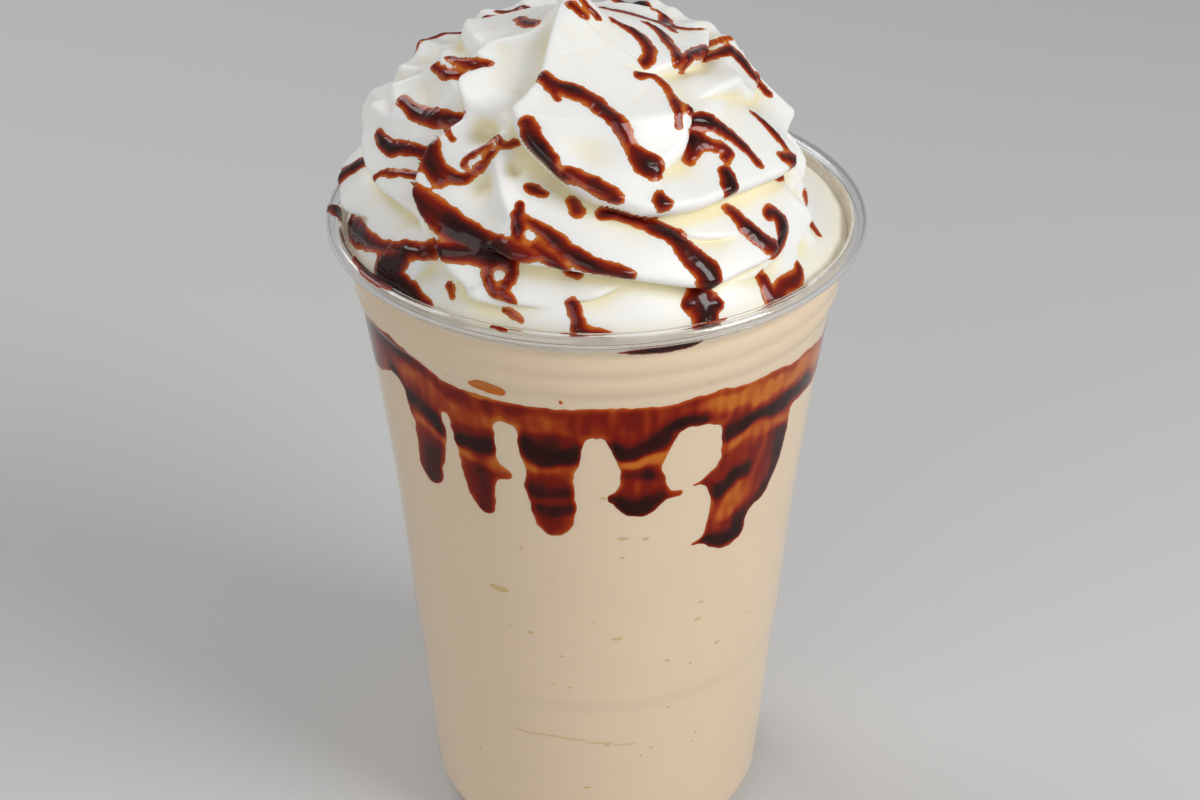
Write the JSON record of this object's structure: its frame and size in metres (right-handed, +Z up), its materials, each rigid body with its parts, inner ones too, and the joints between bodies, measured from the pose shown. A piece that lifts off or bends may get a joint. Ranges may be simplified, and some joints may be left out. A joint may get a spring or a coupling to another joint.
{
  "type": "milkshake",
  "caption": "Pale milkshake in a tall clear plastic cup, with chocolate syrup running down inside the wall and a swirl of whipped cream standing above the rim.",
  "frame": {"origin": "middle of the cup's foot, on the surface that the cup stands on", "axes": "+Z up along the cup's axis, -Y towards the front of the drink"},
  "size_m": [0.098, 0.098, 0.1736],
  "materials": {
    "clear_plastic": "clear, thin and glossy",
    "shake": "smooth wet drink with fine bubbles",
    "chocolate_syrup": "glossy dark syrup",
    "cream": "soft whipped cream with a faint gloss"
  },
  "bodies": {
    "root": {"cup": "clear_plastic", "milkshake": "shake", "wall_sauce": "chocolate_syrup", "whipped_cream": "cream"}
  },
  "joints": []
}
